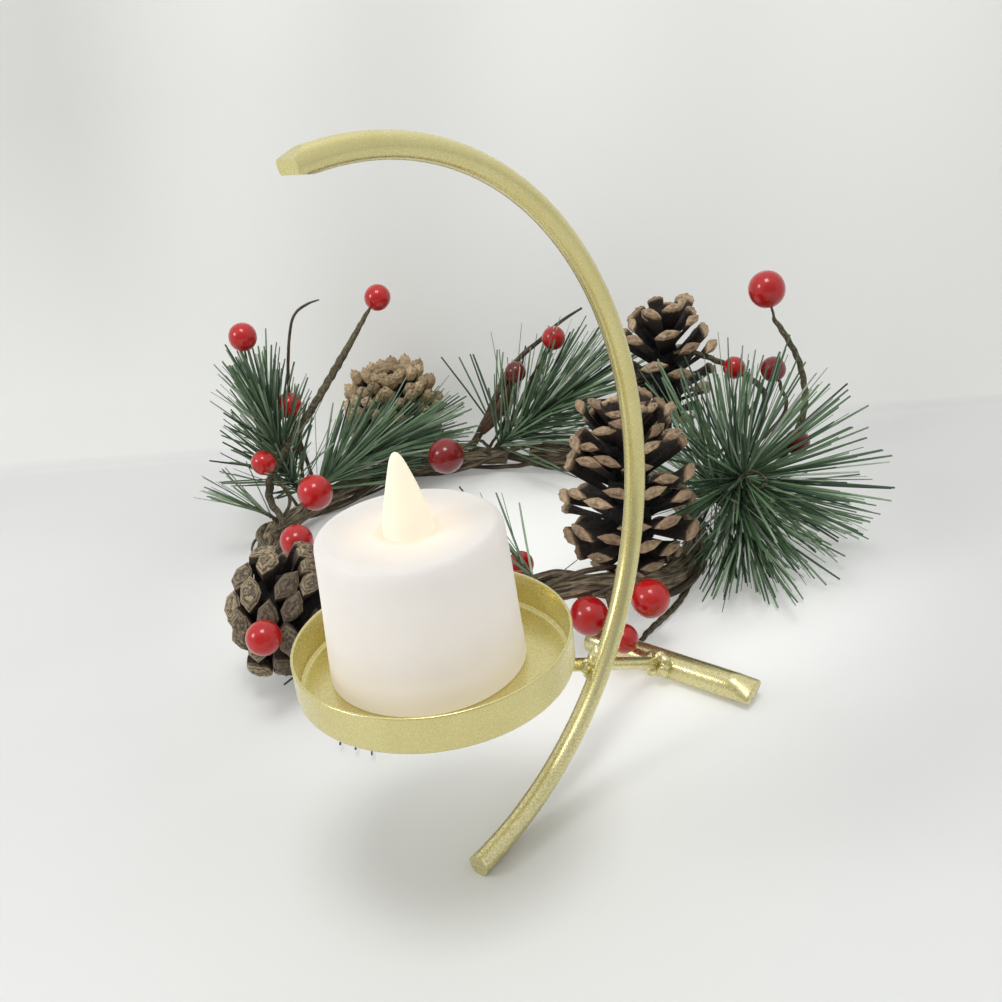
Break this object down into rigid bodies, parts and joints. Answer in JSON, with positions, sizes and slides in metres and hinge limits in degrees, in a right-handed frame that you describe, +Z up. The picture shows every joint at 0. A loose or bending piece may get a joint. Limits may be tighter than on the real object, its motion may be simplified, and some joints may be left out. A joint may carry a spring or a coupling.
{
  "type": "candle ring",
  "caption": "Half-ring candle stand of gold painted rod with a round dish, a battery candle on it, and a loose wreath of vine, pine cones, red berries and needle sprays.",
  "frame": {"origin": "on the table, where the half ring's foot touches it", "axes": "+Z up; +X from the candle towards the foot bar and the ring's bulge; +Y back towards the wreath"},
  "size_m": [0.2943, 0.282, 0.1872],
  "materials": {
    "gold_paint": "satin champagne gold paint with a fine metal flake",
    "candle_wax": "matte warm white, wax-like",
    "flame_plastic": "translucent frosted plastic, lit from inside",
    "white_plastic": "matte",
    "black_plastic": "matte",
    "cell_steel": "bright",
    "led_epoxy": "clear warm tinted",
    "board_green": "solder mask",
    "vine_bark": "dry grooved bark",
    "cone_scales": "dry woody scales with pale tips",
    "berry_red": "glossy lacquer",
    "needle_green": "thin plastic strip needles",
    "stem_tape": "wrapped paper tape over wire",
    "tie_wire": "dull florist wire"
  },
  "bodies": {
    "stand": {"arc_rod": "gold_paint", "foot_bar": "gold_paint", "dish_arm": "gold_paint", "dish": "gold_paint", "weld_arm_to_arc": "gold_paint", "weld_arm_to_foot": "gold_paint", "weld_arm_to_dish": "gold_paint"},
    "candle": {"candle_shell": "candle_wax", "flame_tip": "flame_plastic", "base_cup": "white_plastic", "coin_cell": "cell_steel", "switch_body": "black_plastic", "circuit_board": "board_green", "led": "led_epoxy", "led_leads": "cell_steel", "contact_spring": "cell_steel", "contact_side": "cell_steel", "base_screws": "cell_steel"},
    "battery_cover": {"battery_cover": "white_plastic"},
    "switch_knob": {"switch_knob": "black_plastic"},
    "wreath": {"bark_curl": "vine_bark", "berries_back": "berry_red", "berries_front": "berry_red", "berries_left": "berry_red", "berries_right": "berry_red", "berry_stems_back": "stem_tape", "berry_stems_front": "stem_tape", "berry_stems_left": "stem_tape", "berry_stems_right": "stem_tape", "cone_back_left": "cone_scales", "cone_back_right": "cone_scales", "cone_front_left": "cone_scales", "cone_front_right": "cone_scales", "spray_back_needles": "needle_green", "spray_back_wire": "stem_tape", "spray_left_long_needles": "needle_green", "spray_left_long_wire": "stem_tape", "spray_left_needles": "needle_green", "spray_left_wire": "stem_tape", "spray_low_needles": "needle_green", "spray_low_wire": "stem_tape", "spray_right_needles": "needle_green", "spray_right_wire": "stem_tape", "spray_small_needles": "needle_green", "spray_small_wire": "stem_tape", "tendril": "stem_tape", "twig_loop": "vine_bark", "vine_ring": "vine_bark", "vine_wrap_inner": "vine_bark", "vine_wrap_outer": "vine_bark", "wire_ties": "tie_wire"}
  },
  "joints": [
    {"name": "candle_lift", "type": "slide", "parent": "stand", "child": "candle", "axis": [0, 0, 1], "range_m": [0, 0.04]},
    {"name": "battery_cover_turn", "type": "hinge", "parent": "candle", "child": "battery_cover", "pos_m": [0.004, 0.0083, 0.0643], "axis": [0, 0, 1], "range_deg": [0, 40]},
    {"name": "switch_slide", "type": "slide", "parent": "candle", "child": "switch_knob", "axis": [0, 1, 0], "range_m": [0, 0.0025]},
    {"name": "wreath_lift", "type": "slide", "parent": "stand", "child": "wreath", "axis": [0, 0, 1], "range_m": [0, 0.1]}
  ]
}
